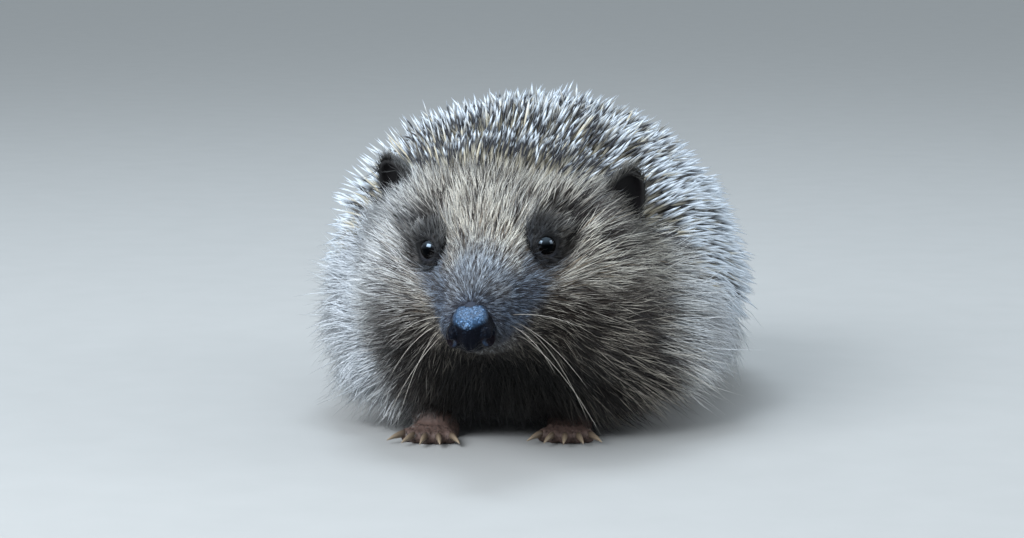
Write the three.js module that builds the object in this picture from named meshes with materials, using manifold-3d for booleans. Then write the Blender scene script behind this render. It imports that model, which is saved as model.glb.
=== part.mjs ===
// A young hedgehog standing on its four feet, low to the ground, with its head level and the
// left side of its face a little higher than the right. Millimetres, +Z up, nose towards -Y, the
// animal's left side at +X. The solids reach out to the tips of the spines and the fur. The
// origin is on the floor under the middle of the animal.
import * as THREE from "three";
import { mergeVertices } from "three/addons/utils/BufferGeometryUtils.js";
import Module from "manifold-3d";

const wasm = await Module();
wasm.setup();

// ---------------------------------------------------------------- driving dimensions
const GAP = 0.3; // left between neighbouring pieces
const BACK_HEIGHT = 82; // floor to the highest spine tips
const BODY = { y: 20, halfWidth: 56, halfLength: 68, waistZ: 26, underWaist: 34 };
const SHOULDERS = { at: [0, -15, 36], half: [45, 37, 41], under: 36 };
const SHOULDER_FRINGE = { at: [24, -21, 20], half: [18, 22, 16] }; // fur low over each foreleg
const HAUNCH = { at: [30, 44, 20], half: [20, 26, 16] }; // and over each thigh
const BELLY_Z = 6; // floor to the fur of the belly
const HEAD_YAW = 1; // degrees, to the animal's left
const HEAD_ROLL = 3; // degrees, left side up
const NECK_PIVOT = [0, -26, 48]; // what the head turns about
const HEAD_CUT_Y = -35; // the head ends here, behind the ears
const NECK_CUT_Y = -22; // and the neck here
const FOREHEAD = { at: [0, -42, 51], half: [27, 21, 22] };
const CHEEK = { at: [15, -46, 38], half: [18, 20, 17] };
const SNOUT = { from: [0, -58, 45], to: [0, -87, 36.5], base: 14, tip: 6.2 };
const CHIN = { at: [0, -66, 34], half: [11, 16, 8] };
const EYE = { at: [13, -62, 50], radius: 3.1 };
const EYE_SOCKET = { at: [16.5, -65, 51], half: [4.5, 5, 4.5] };
const NOSE = { at: [0, -92, 36], half: [5.6, 4.6, 4.8] };
const EAR = { at: [27.2, -39.8, 58.4], half: [6.4, 4.6, 9.4], wall: 1.1, tilt: 20, turn: 40 };
const EAR_UNEVEN = [2.3, 0, -2.2]; // the left ear sits this much further out, and lower
const TAIL = { from: [0, 82, 16], to: [0, 94, 11], base: 4.6, tip: 2.4 };
// palms and soles, with the five toes in a fan in front: `toes` are their angles in degrees
const FORE_PAW = { half: [5.6, 6, 5], toes: [-38, -19, 0, 19, 38], reach: 6.5, toe: 2, turn: 4 };
const HIND_PAW = { half: [5, 10.5, 4.8], toes: [-30, -15, 0, 15, 30], reach: 11, toe: 2, turn: 8 };
// where each paw stands, and where its leg starts inside the body
const FORE_LEG = { paw: FORE_PAW, x: 16, topX: 25, topZ: 22, topRadius: 14, ankleRadius: 6.5 };
const HIND_LEG = { paw: HIND_PAW, x: 27, topX: 29, topZ: 22, topRadius: 15, ankleRadius: 6.5 };
const LEGS = {
  fore_left: { ...FORE_LEG, side: 1, y: -37, topY: -29 },
  fore_right: { ...FORE_LEG, side: -1, y: -43, topY: -33 },
  hind_left: { ...HIND_LEG, side: 1, y: 48, topY: 57 },
  hind_right: { ...HIND_LEG, side: -1, y: 41, topY: 51 },
};
const LEG_END_Z = 2; // the fur of a leg stops this far above the floor
const CLAW = { length: 4.8, radius: 0.95, droop: 1.1, lift: 2.1 };
const SIDES = { left: 1, right: -1 };

const COLOURS = {
  spines: 0xb9b4a6,
  fur: 0xa59c88,
  leather: 0x18181c,
  eye: 0x07070a,
  ear: 0x3a3230,
  foot: 0x5b4c44,
  claw: 0x8f8272,
};

// ---------------------------------------------------------------- shapes as distance fields
const v3 = (x = 0, y = 0, z = 0) => new THREE.Vector3(x, y, z);
const UP = v3(0, 1, 0); // the axis that three.js gives a capsule

// An ellipsoid round `at`; `under` is its half height below the middle, where that differs.
function ellipsoid({ at, half, under = half[2] }) {
  return (p) => {
    const x = p.x - at[0];
    const y = p.y - at[1];
    const z = p.z - at[2];
    const c = z < 0 ? under : half[2];
    const k = Math.hypot(x / half[0], y / half[1], z / c);
    const g = Math.hypot(x / half[0] ** 2, y / half[1] ** 2, z / c ** 2);
    return g < 1e-9 ? -Math.min(...half) : (k * (k - 1)) / g;
  };
}

// A rod with round ends whose radius runs from `base` to `tip`.
function taper({ from, to, base, tip }) {
  const start = v3(...from);
  const along = v3(...to).sub(start);
  return (p) => {
    const q = p.clone().sub(start);
    const t = THREE.MathUtils.clamp(q.dot(along) / along.lengthSq(), 0, 1);
    return q.addScaledVector(along, -t).length() - THREE.MathUtils.lerp(base, tip, t);
  };
}

// The lower of two distances, rounded over a width of `soft`, and the higher.
function softMin(a, b, soft) {
  const h = Math.max(soft - Math.abs(a - b), 0) / soft;
  return Math.min(a, b) - (h * h * soft) / 4;
}
const softMax = (a, b, soft) => -softMin(-a, -b, soft);

const blend = (soft, ...shapes) => (p) =>
  shapes.map((shape) => shape(p)).reduce((a, b) => softMin(a, b, soft));
const above = (z, soft, shape) => (p) => softMax(shape(p), z - p.z, soft);
const hollowed = (soft, shape, hole) => (p) => softMax(shape(p), -hole(p), soft);
const both = (shape) => (p) => shape(v3(Math.abs(p.x), p.y, p.z));
const grown = (shape, by) => (p) => shape(p) - by;
const within = (shape, low, high) => (p) => Math.max(shape(p), low - p.y, p.y - high);

// The head's own turn, about the neck.
const headTurn = new THREE.Matrix4()
  .makeTranslation(...NECK_PIVOT)
  .multiply(new THREE.Matrix4().makeRotationZ(THREE.MathUtils.degToRad(HEAD_YAW)))
  .multiply(new THREE.Matrix4().makeRotationY(THREE.MathUtils.degToRad(-HEAD_ROLL)))
  .multiply(new THREE.Matrix4().makeTranslation(...NECK_PIVOT.map((x) => -x)));
const headBack = headTurn.clone().invert();
const withHead = (shape) => (p) => shape(p.clone().applyMatrix4(headBack));
const onHead = ([x, y, z], side = 1) => v3(side * x, y, z).applyMatrix4(headTurn).toArray();

// ---------------------------------------------------------------- the body and its coat
const barrel = {
  at: [0, BODY.y, BODY.waistZ],
  half: [BODY.halfWidth, BODY.halfLength, BACK_HEIGHT - BODY.waistZ],
  under: BODY.underWaist,
};
const body = above(
  BELLY_Z,
  12,
  blend(
    20,
    ellipsoid(barrel),
    ellipsoid(SHOULDERS),
    both(ellipsoid(SHOULDER_FRINGE)),
    both(ellipsoid(HAUNCH)),
  ),
);
const skull = blend(10, ellipsoid(FOREHEAD), both(ellipsoid(CHEEK)), taper(SNOUT), ellipsoid(CHIN));
const head = withHead(hollowed(5, skull, both(ellipsoid(EYE_SOCKET))));
const whole = blend(18, body, head);

// ---------------------------------------------------------------- from fields to solids
function solid(geometry) {
  const bare = geometry.clone();
  bare.deleteAttribute("normal");
  bare.deleteAttribute("uv");
  const merged = mergeVertices(bare, 1e-4);
  return new wasm.Manifold(
    new wasm.Mesh({
      numProp: 3,
      vertProperties: new Float32Array(merged.attributes.position.array),
      triVerts: new Uint32Array(merged.index.array),
    }),
  );
}

// A ball of triangles round `centre`, with each corner pushed out to where the field ends.
function wrap(shape, centre, detail, stretch = [1, 1, 1]) {
  const ball = new THREE.IcosahedronGeometry(1, detail);
  ball.deleteAttribute("normal");
  ball.deleteAttribute("uv");
  const mesh = mergeVertices(ball, 1e-4);
  const corners = mesh.attributes.position;
  const way = v3();
  for (let i = 0; i < corners.count; i++) {
    way.fromBufferAttribute(corners, i).multiply(v3(...stretch)).normalize();
    const at = v3(...centre);
    for (let left = -shape(at); left > 1e-4; left = -shape(at)) {
      at.addScaledVector(way, left * 0.9);
    }
    corners.setXYZ(i, at.x, at.y, at.z);
  }
  return solid(mesh);
}

const FAR = 300;
const slab = (y, z) => solid(new THREE.BoxGeometry(FAR, FAR, FAR).translate(0, y, z));
const infrontOf = (y) => slab(y - FAR / 2, 0);
const behind = (y) => slab(y + FAR / 2, 0);
const below = (z) => slab(0, z - FAR / 2);
const without = (made, pieces) => pieces.reduce((left, piece) => left.subtract(piece), made);

const hedgehog = new THREE.Group();

function add(name, made, colour, roughness = 0.9) {
  const found = made.getMesh();
  const geometry = new THREE.BufferGeometry()
    .setAttribute("position", new THREE.BufferAttribute(found.vertProperties, 3))
    .setIndex(new THREE.BufferAttribute(found.triVerts, 1));
  const material = new THREE.MeshStandardMaterial({ color: colour, roughness, metalness: 0 });
  const mesh = new THREE.Mesh(geometry, material);
  mesh.name = name;
  hedgehog.add(mesh);
}

// ---------------------------------------------------------------- eyes and nose
const faceHoles = []; // what the head makes room for

for (const [name, side] of Object.entries(SIDES)) {
  const ball = (radius) =>
    solid(new THREE.SphereGeometry(radius, 14, 9).translate(...onHead(EYE.at, side)));
  add(`eye_${name}`, ball(EYE.radius), COLOURS.eye, 0.1);
  faceHoles.push(ball(EYE.radius + GAP));
}

const noseShape = withHead(ellipsoid(NOSE));
add("nose", wrap(noseShape, onHead(NOSE.at), 3), COLOURS.leather, 0.35);
faceHoles.push(wrap(grown(noseShape, GAP), onHead(NOSE.at), 3));

// ---------------------------------------------------------------- legs, paws and claws
const RAD = Math.PI / 180;

// Where a toe starts and ends, in the paw's own frame: heel at +Y, sole at z = 0.
function toeLine({ reach, toe }, angle) {
  const way = v3(Math.sin(angle * RAD), -Math.cos(angle * RAD), 0);
  const from = way.clone().multiplyScalar(reach * 0.45).setZ(toe * 1.1);
  const to = way.clone().multiplyScalar(reach + toe).setZ(toe * 0.8);
  return [from, to];
}

// A palm with its five toes, grown by `by`.
function pawSolid(paw, by = 0) {
  const palm = new THREE.SphereGeometry(1, 10, 7).rotateX(Math.PI / 2);
  palm.scale(...paw.half.map((half) => half + by)).translate(0, 1, 1);
  return paw.toes.reduce((made, angle) => {
    const [from, to] = toeLine(paw, angle);
    const lie = new THREE.Quaternion().setFromUnitVectors(UP, to.clone().sub(from).normalize());
    const finger = new THREE.CapsuleGeometry(paw.toe + by, from.distanceTo(to), 2, 6);
    finger.applyQuaternion(lie).translate(...from.clone().lerp(to, 0.5).toArray());
    return made.add(solid(finger));
  }, solid(palm));
}

// A claw: a cone that droops towards its point, in front of the end of a toe.
function clawSolid(paw, angle) {
  const end = toeLine(paw, angle)[1];
  const cone = new THREE.ConeGeometry(CLAW.radius, CLAW.length, 6, 2).rotateX(Math.PI / 2);
  const points = cone.attributes.position;
  for (let i = 0; i < points.count; i++) {
    const along = points.getZ(i) / CLAW.length + 0.5;
    points.setY(i, points.getY(i) - CLAW.droop * along * along);
  }
  cone.translate(0, CLAW.lift, CLAW.length / 2 + paw.toe + GAP);
  cone.rotateX(Math.PI / 2).rotateZ(angle * RAD);
  return solid(cone.translate(end.x, end.y, 0));
}

const legHoles = []; // what the body makes room for

for (const [name, leg] of Object.entries(LEGS)) {
  const { side, paw } = leg;
  const place = new THREE.Matrix4()
    .makeTranslation(side * leg.x, leg.y, 0)
    .multiply(new THREE.Matrix4().makeRotationZ(side * paw.turn * RAD));
  const placed = (made) => made.transform(place.elements);
  add(`paw_${name}`, placed(pawSolid(paw).subtract(below(0))), COLOURS.foot);
  paw.toes.forEach((angle, i) => {
    add(`claw_${name}_${i + 1}`, placed(clawSolid(paw, angle)), COLOURS.claw, 0.5);
  });

  const hip = [side * leg.topX, leg.topY, leg.topZ];
  const ankle = [side * leg.x, leg.y + paw.half[1] * 0.35, paw.half[2] * 0.7];
  const shape = taper({ from: hip, to: ankle, base: leg.topRadius, tip: leg.ankleRadius });
  const room = [placed(pawSolid(paw, GAP)), below(LEG_END_Z)];
  add(`leg_${name}`, without(wrap(shape, hip, 2), room), COLOURS.fur);
  legHoles.push(wrap(grown(shape, GAP), hip, 2));
}

// ---------------------------------------------------------------- head, neck and trunk
const HEAD_MIDDLE = onHead([0, -54, 46]);
const HEAD_BALL = [7, [1, 1.5, 1]]; // its detail and stretch
const headBall = wrap(within(whole, -FAR, HEAD_CUT_Y + 9), HEAD_MIDDLE, ...HEAD_BALL);
const headSolid = headBall.subtract(behind(HEAD_CUT_Y - GAP / 2));
add("head", without(headSolid, [...faceHoles, ...legHoles]), COLOURS.fur);

const neckShape = within(whole, HEAD_CUT_Y - 12, NECK_CUT_Y + 12);
const neck = wrap(neckShape, [0, -28, 40], 5, [1, 0.5, 1])
  .subtract(infrontOf(HEAD_CUT_Y + GAP / 2))
  .subtract(behind(NECK_CUT_Y - GAP / 2));
add("neck", without(neck, legHoles), COLOURS.fur);

const trunk = wrap(within(whole, NECK_CUT_Y - 12, FAR), [0, BODY.y, 40], 7, [1, 1.2, 0.8])
  .subtract(infrontOf(NECK_CUT_Y + GAP / 2));
add("trunk", without(trunk, legHoles), COLOURS.spines);

// ---------------------------------------------------------------- ears and tail
// An ear is a bowl that opens forwards and outwards; its root is hidden in the fur.
function earSolid(side) {
  const bowl = (by) =>
    solid(new THREE.SphereGeometry(1, 20, 14).scale(...EAR.half.map((half) => half - by)));
  const mouth = solid(new THREE.BoxGeometry(40, 20, 40).translate(0, -10.5, 0));
  const turn = headTurn
    .clone()
    .multiply(new THREE.Matrix4().makeTranslation(side * EAR.at[0], EAR.at[1], EAR.at[2]))
    .multiply(new THREE.Matrix4().makeTranslation(EAR_UNEVEN[0], 0, side * EAR_UNEVEN[2]))
    .multiply(new THREE.Matrix4().makeRotationY(side * EAR.tilt * RAD))
    .multiply(new THREE.Matrix4().makeRotationZ(side * EAR.turn * RAD));
  return bowl(0).subtract(bowl(EAR.wall)).subtract(mouth).transform(turn.elements);
}

const roundEars = within(grown(whole, GAP), -FAR, HEAD_CUT_Y + 25);
const earRoom = wrap(roundEars, HEAD_MIDDLE, ...HEAD_BALL);
for (const [name, side] of Object.entries(SIDES)) {
  add(`ear_${name}`, earSolid(side).subtract(earRoom), COLOURS.ear);
}

const tailShape = taper(TAIL);
const tailOutside = (p) => Math.max(tailShape(p), GAP - whole(p));
const tailMiddle = v3(...TAIL.from).lerp(v3(...TAIL.to), 0.75).toArray();
add("tail", wrap(tailOutside, tailMiddle, 2), COLOURS.fur);

// the origin goes to the floor under the middle of the whole animal
const middle = new THREE.Box3().setFromObject(hedgehog).getCenter(v3());
hedgehog.position.set(-middle.x, -middle.y, 0);

export default hedgehog;
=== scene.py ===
"""A young hedgehog, standing low on its four paws with its spines half raised.

The flesh is one distance field, in millimetres, with the nose towards -Y, the animal's left at +X
and the floor at z = 0. It is made into one skin, and everything else grows on that: the spines by
Geometry Nodes, the fur and the whiskers as joined meshes made from arrays. Skin and coat take
their colours from the same markings, which also hold painted light and shade.
"""

import math

import bpy
import numpy as np
from mathutils import Matrix, Vector


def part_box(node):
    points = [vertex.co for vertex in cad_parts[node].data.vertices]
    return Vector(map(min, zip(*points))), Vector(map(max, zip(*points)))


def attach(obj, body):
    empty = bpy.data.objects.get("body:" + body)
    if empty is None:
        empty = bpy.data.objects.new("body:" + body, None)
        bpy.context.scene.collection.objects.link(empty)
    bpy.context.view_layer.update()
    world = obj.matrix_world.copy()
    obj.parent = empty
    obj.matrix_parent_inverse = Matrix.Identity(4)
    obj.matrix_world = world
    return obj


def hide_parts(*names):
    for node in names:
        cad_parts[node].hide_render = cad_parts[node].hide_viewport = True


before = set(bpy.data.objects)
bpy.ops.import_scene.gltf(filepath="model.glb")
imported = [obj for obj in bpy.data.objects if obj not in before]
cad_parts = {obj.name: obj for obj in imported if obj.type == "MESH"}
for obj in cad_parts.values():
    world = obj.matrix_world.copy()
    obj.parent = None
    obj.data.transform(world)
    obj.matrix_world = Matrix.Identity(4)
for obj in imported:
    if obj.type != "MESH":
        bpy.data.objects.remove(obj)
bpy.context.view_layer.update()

MM = 0.001
rng = np.random.default_rng(11)

# ------------------------------------------------------------------ sizes, in millimetres
# a blob is a middle and three half sizes; a rod is two ends and the radius at each
BACK_HEIGHT = 82
BODY_MIDDLE = (0, 20, 26)
BODY_HALF = (56, 68, BACK_HEIGHT - 26)
BODY_BELOW = 34  # how far the body's blob reaches down
SHOULDERS = ((0, -15, 36), (45, 37, 41), 36)
SHOULDER_FRINGE = ((24, -21, 20), (18, 22, 16))
FRINGE_TUCK = 4  # the right side is drawn in
HAUNCH = ((30, 44, 20), (20, 26, 16))
BELLY_Z = 6
NECK_PIVOT = np.array([0, -26, 48.0])
HEAD_YAW, HEAD_ROLL = math.radians(1), math.radians(3)
FOREHEAD = ((0, -42, 51), (27, 21, 22))
CHEEK = ((15, -46, 38), (18, 20, 17))
SNOUT = ((0, -58, 45), (0, -87, 36.5), 14, 6.2)
CHIN = ((0, -66, 34), (11, 16, 8))
LOWER_JAW = ((0, -58, 33), (0, -77.5, 31.6), 7, 2.5)
WHISKER_PAD = ((3.8, -83.0, 35), (3.6, 6.5, 3.9))
BROW = ((13.2, -59.8, 52.6), (4.6, 3.6, 2.2))
EYE, EYE_RADIUS, LID_THICK = (13, -62, 50), 3.2, 0.7
EYE_SOCKET = ((16.5, -65, 51), (4.5, 5, 4.5))
EYE_OPENING = ((0, 4.2, -0.1), (2.65, 3.4, 2.6))  # sideways, outwards and up from the eye
CORNEA_RISE = 0.05  # how much further out the middle of the eye stands, as a share of its radius
EAR, EAR_UNEVEN = np.array([27.2, -39.6, 58.0]), np.array([2.3, 0, -2.5])  # the left one is lower
EAR_HALF, EAR_TILT, EAR_TURN, EAR_THICK = (5.7, 4.1, 9.0), 20, 43, 0.6
TAIL = ((0, 80, 17), (0, 92.5, 11.5), 3.4, 1.4)
FORE_PAW = dict(half=(5.3, 5.7, 4.7), toes=(-38, -19, 0, 19, 38), reach=6.5, toe=1.9, turn=4)
HIND_PAW = dict(half=(4.7, 10.2, 4.5), toes=(-30, -15, 0, 15, 30), reach=11, toe=1.9, turn=8)
FORE_LEG = dict(paw=FORE_PAW, x=16, top=(25, 22), thick=(10.0, 4.4))
HIND_LEG = dict(paw=HIND_PAW, x=27, top=(29, 22), thick=(11.5, 4.4))
LEGS = {
    "fore_left": dict(FORE_LEG, side=1, y=-37, top_y=-29),
    "fore_right": dict(FORE_LEG, side=-1, y=-43, top_y=-33),
    "hind_left": dict(HIND_LEG, side=1, y=48, top_y=57),
    "hind_right": dict(HIND_LEG, side=-1, y=41, top_y=51),
}
LEG_REACH = 34  # past this far in front or behind, a leg changes nothing
CLAW_LENGTH, CLAW_RADIUS, CLAW_DROOP, CLAW_LIFT = 5.6, 0.95, 1.1, 2.1

# the nose, from its own middle
NOSE = np.array([0, -91.6, 35.6])
NOSE_BALL = ((0, 0.9, -0.2), (5.4, 4.9, 5.7))
NOSE_WING = ((3.8, -1.2, -1.8), (1.9, 2.9, 2.8))
NOSE_FRONT = ((0, -3.0, -1.7), (2.3, 1.8, 3.3))
NOSE_TOP, NOSE_TOP_REACH = (0, -0.5, 0.86), 3.5  # which way the flat top faces, and how far out it is
NOSE_SIDE, NOSE_SIDE_REACH = (1, 0, 0.42), 5.0
NOSTRIL = ((2.9, -5.4, -3.3), (5.0, -2.6, -3.0), 1.15, 0.8)
NOSTRIL_SLIT = ((5.0, -3.0, -2.8), (5.9, -0.6, 1.0), 0.68, 0.35)
NOSTRIL_LINING = ((3.2, -4.2, -3.3), (5.2, -2.0, -2.9), 0, 0)
NOSTRIL_RIM = (4.0, -4.0, -3.4)
NOSE_GROOVE = ((0.0, -6.0, -0.4), (0, -3.6, -5.6), 0.34, 0.45)

# how deep the skin lies under the tips of the coat, from the nose back to behind the ears
DEPTH_Y = (-96, -84, -72, -62, -54, -46, -38, -28, -14, 4)
DEPTH = (0.9, 0.9, 1.2, 1.9, 3.2, 4.8, 6.2, 7.8, 9.6, 11.0)

# the line above which spines grow, from the nose back
SPINE_LINE_Y = (-62, -58, -54, -48, -44, -38, -34, -29, -23, -12, 0, 20, 60, 90)
SPINE_LINE_Z = (76, 66, 63.5, 61.5, 60.5, 58, 53.5, 44, 34, 29, 26, 24, 23, 20)

# how long the hair is from the nose back, and on a leg from the floor up
HAIR_Y = (-94, -84, -74, -64, -56, -48, -40, -30, -10)
HAIR_LENGTH = (1.5, 2.4, 3.2, 5.6, 10.5, 14.5, 17.5, 19, 19)
LEG_HAIR_Z = (0, 3, 6, 12, 20, 28)
LEG_HAIR_LENGTH = (0.8, 1.1, 1.9, 4.5, 8, 12)
EAR_HAIR_LENGTH, TAIL_HAIR_LENGTH = 3.0, 2.6

# hairs to the square millimetre: long ones from the face back, short ones by their length
LONG_HAIRS_Y, LONG_HAIRS = (-60, -30, 0, 60), (5.8, 5.1, 3.5, 2.3)
SHORT_HAIRS_LENGTH, SHORT_HAIRS = (1, 2, 4, 8), (10.3, 9.7, 8.7, 7.0)
SPINE_SPACING = 1.56
SPINE_SIDES, SPINE_BANDS = 5, 4
MOST_TRIANGLES = 198000  # in one piece
PATCH = 0.003  # how much of the unwrap one hair's or one spine's colours take up


# ------------------------------------------------------------------ distance fields
def ellipsoid(p, middle, half, under=None):
    """Signed distance, close to the surface, of an ellipsoid. `under` is its half height below."""
    q = p - np.asarray(middle, float)
    c = np.where(q[:, 2] < 0, half[2] if under is None else under, half[2])
    x, y, z = q[:, 0] / half[0], q[:, 1] / half[1], q[:, 2] / c
    k = np.sqrt(x * x + y * y + z * z)
    g = np.sqrt((x / half[0]) ** 2 + (y / half[1]) ** 2 + (z / c) ** 2)
    return np.where(g < 1e-9, -min(half), k * (k - 1) / np.maximum(g, 1e-9))


def taper(p, start, end, base, tip):
    """Signed distance of a rod with round ends."""
    start, end = np.asarray(start, float), np.asarray(end, float)
    along = end - start
    t = np.clip((p - start) @ along / (along @ along), 0, 1)
    return np.linalg.norm(p - start - t[:, None] * along, axis=1) - (base + (tip - base) * t)


def away_from(p, place, stretch=1):
    """How far each point is from a place, with each direction stretched."""
    return np.linalg.norm((p - np.asarray(place)) * stretch, axis=1)


def soft_min(a, b, soft):
    """The nearer of two fields, with a smooth fillet between them."""
    h = np.maximum(soft - np.abs(a - b), 0) / soft
    return np.minimum(a, b) - h * h * soft / 4


def soft_max(a, b, soft):
    return -soft_min(-a, -b, soft)


def ramp(x, low, high):
    """0 below low, 1 above high, smooth between; high may be the lower one."""
    t = np.clip((x - low) / (high - low), 0, 1)
    return t * t * (3 - 2 * t)


def rotation(axis, angle):
    return np.array(Matrix.Rotation(angle, 3, axis))


def unit(v):
    return v / np.maximum(np.linalg.norm(v, axis=-1, keepdims=True), 1e-12)


HEAD_TURN = rotation("Z", HEAD_YAW) @ rotation("Y", -HEAD_ROLL)
EAR_FRAME = rotation("Y", math.radians(EAR_TILT)) @ rotation("Z", math.radians(EAR_TURN))
GAZE = unit(np.array([0.56, -0.82, 0.06]))  # where the left eye looks, in the head's frame
EYE_SIDE = unit(np.cross(GAZE, [0, 0, 1]))
EYE_FRAME = np.array([EYE_SIDE, GAZE, np.cross(EYE_SIDE, GAZE)])


def to_head(p):
    """From where the head is held to the head's own upright frame."""
    return (p - NECK_PIVOT) @ HEAD_TURN + NECK_PIVOT


def on_head(q):
    """From the head's own upright frame to where the head is held."""
    return (np.asarray(q, float) - NECK_PIVOT) @ HEAD_TURN.T + NECK_PIVOT


def mirrored(p):
    """Both sides as the left one."""
    return np.abs(p) * [1, 0, 0] + p * [0, 1, 1]


def coat_surface(p):
    """The field of the outline: the tips of the spines and of the fur."""
    m = mirrored(p)
    body = ellipsoid(p, BODY_MIDDLE, BODY_HALF, BODY_BELOW)
    body = soft_min(body, ellipsoid(p, *SHOULDERS), 20)
    tucked = m + ramp(-p[:, :1], 0, 4) * [FRINGE_TUCK, 0, 0]
    body = soft_min(body, ellipsoid(tucked, *SHOULDER_FRINGE), 20)
    body = soft_min(body, ellipsoid(m, *HAUNCH), 20)
    body = soft_max(body, BELLY_Z - p[:, 2], 12)
    h = to_head(p)
    m = mirrored(h)
    skull = soft_min(ellipsoid(h, *FOREHEAD), ellipsoid(m, *CHEEK), 10)
    skull = soft_min(skull, taper(h, *SNOUT), 10)
    skull = soft_min(skull, ellipsoid(h, *CHIN), 10)
    skull = soft_max(skull, -ellipsoid(m, *EYE_SOCKET), 5)
    return soft_min(body, skull, 18)


def coat_depth(p):
    """How deep the skin lies under the tips of the coat."""
    thinner_below = 0.5 + 0.5 * ramp(p[:, 2], 8, 26)
    return np.interp(to_head(p)[:, 1], DEPTH_Y, DEPTH) * thinner_below


def ear_place(h):
    """Coordinates about the nearer ear, from head coordinates; it opens towards -Y."""
    return (mirrored(h) - EAR - EAR_UNEVEN * np.sign(h[:, :1])) @ EAR_FRAME


def ear_field(h):
    """The cupped flap of an ear."""
    q = ear_place(h)
    shell = np.abs(ellipsoid(q, (0, 0, 0), EAR_HALF)) - EAR_THICK
    return soft_max(shell, -q[:, 1] - 0.4, 0.8)


def eye_place(m):
    """Coordinates about the eye: sideways, outwards and up."""
    return (m - np.array(EYE)) @ EYE_FRAME.T


def leg_points(leg):
    """The two ends of a leg."""
    paw, side = leg["paw"], leg["side"]
    hip = (side * leg["top"][0], leg["top_y"], leg["top"][1])
    ankle = (side * leg["x"], leg["y"] + paw["half"][1] * 0.35, paw["half"][2] * 0.7)
    return hip, ankle


def to_paw(p, leg):
    """Coordinates about a paw."""
    turn = rotation("Z", leg["side"] * math.radians(leg["paw"]["turn"]))
    return (p - [leg["side"] * leg["x"], leg["y"], 0]) @ turn


def toe_line(paw, angle):
    """Where a toe starts and ends, and which way it points."""
    way = np.array([math.sin(math.radians(angle)), -math.cos(math.radians(angle)), 0])
    start = way * paw["reach"] * 0.45 + [0, 0, paw["toe"] * 1.25]
    end = way * (paw["reach"] + paw["toe"]) + [0, 0, paw["toe"] * 0.8]
    return start, end, way


def leg_field(p, leg):
    hip, ankle = leg_points(leg)
    paw = leg["paw"]
    q = to_paw(p, leg)
    palm = ellipsoid(q, (0, 1, 1), paw["half"])
    toes = np.full(len(p), 1e3)
    for angle in paw["toes"]:
        start, end, _ = toe_line(paw, angle)
        knuckle = (start + end) / 2 + [0, 0, 0.35]
        toe = soft_min(taper(q, start, end, 1.5, 1.45), ellipsoid(q, knuckle, (1.75,) * 3), 0.8)
        toe = soft_min(toe, ellipsoid(q, end, (paw["toe"] * 0.93,) * 3), 0.8)
        toes = np.minimum(toes, toe)
    foot = soft_min(palm, toes, 1.2)
    return soft_min(taper(p, hip, ankle, *leg["thick"]), foot, 3)


def skin_field(p):
    """The flesh, without its coat."""
    h = to_head(p)
    m = mirrored(h)
    flesh = coat_surface(p) + coat_depth(p)
    flesh = soft_min(flesh, ellipsoid(m, *WHISKER_PAD), 3)
    flesh = soft_min(flesh, ellipsoid(m, *BROW), 3)
    flesh = soft_min(flesh, ellipsoid(m, EYE, (EYE_RADIUS + LID_THICK,) * 3), 2.2)
    flesh = soft_min(flesh, ear_field(h), 2.5)
    flesh = soft_min(flesh, taper(h, *LOWER_JAW), 1.0)
    flesh = soft_max(flesh, -ellipsoid(eye_place(m), *EYE_OPENING), 1.3)
    flesh = soft_min(flesh, taper(p, *TAIL), 4)
    for leg in LEGS.values():
        near = np.abs(p[:, 1] - leg["y"]) < LEG_REACH
        flesh[near] = soft_min(flesh[near], leg_field(p[near], leg), 4)
    return soft_max(flesh, 0.02 - p[:, 2], 0.3)


def nose_field(p):
    """The wet nose: a flat top that faces forwards, a wing and a nostril on each side, and a groove."""
    h = to_head(p) - NOSE
    m = mirrored(h)
    nose = soft_max(ellipsoid(h, *NOSE_BALL), h @ unit(NOSE_TOP) - NOSE_TOP_REACH, 0.7)
    nose = soft_max(nose, m @ unit(NOSE_SIDE) - NOSE_SIDE_REACH, 1.2)
    nose = soft_min(nose, ellipsoid(m, *NOSE_WING), 0.7)
    nose = soft_min(nose, ellipsoid(h, *NOSE_FRONT), 1.0)
    nose = soft_max(nose, -taper(m, *NOSTRIL), 0.4)
    nose = soft_max(nose, -taper(m, *NOSTRIL_SLIT), 0.35)
    nose = soft_max(nose, -taper(h, *NOSE_GROOVE), 0.5)
    return nose + waves(p, 1.5, 61) * 0.05


# ------------------------------------------------------------------ from fields to meshes
def sampled(field, axes, block=8):
    """The field at every grid corner; far from the surface only once for each block."""
    shape = [len(a) for a in axes]
    values = np.empty([-(-n // block) * block for n in shape], np.float32)
    longer = [np.concatenate([a, a[-1] + np.arange(1, block + 1)]) for a in axes]
    padded = [a[:n] for a, n in zip(longer, values.shape)]
    low = [a[::block] for a in padded]
    high = [a[block - 1 :: block] for a in padded]
    middles = np.stack(np.meshgrid(*[(a + b) / 2 for a, b in zip(low, high)], indexing="ij"), -1)
    halves = np.stack(np.meshgrid(*[(b - a) / 2 for a, b in zip(low, high)], indexing="ij"), -1)
    rough = field(middles.reshape(-1, 3)).reshape(middles.shape[:3])
    values[:] = np.kron(rough, np.ones((block,) * 3, np.float32))
    near = np.argwhere(np.abs(rough) < np.linalg.norm(halves, axis=-1) * 1.7 + 2)
    step = np.stack(np.meshgrid(*[np.arange(block)] * 3, indexing="ij"), -1).reshape(-1, 3)
    for some in np.array_split(near, max(1, len(near) // 300)):
        cell = (some[:, None] * block + step).reshape(-1, 3)
        points = np.stack([padded[i][cell[:, i]] for i in range(3)], -1)
        values[cell[:, 0], cell[:, 1], cell[:, 2]] = field(points)
    return values[: shape[0], : shape[1], : shape[2]]


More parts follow.
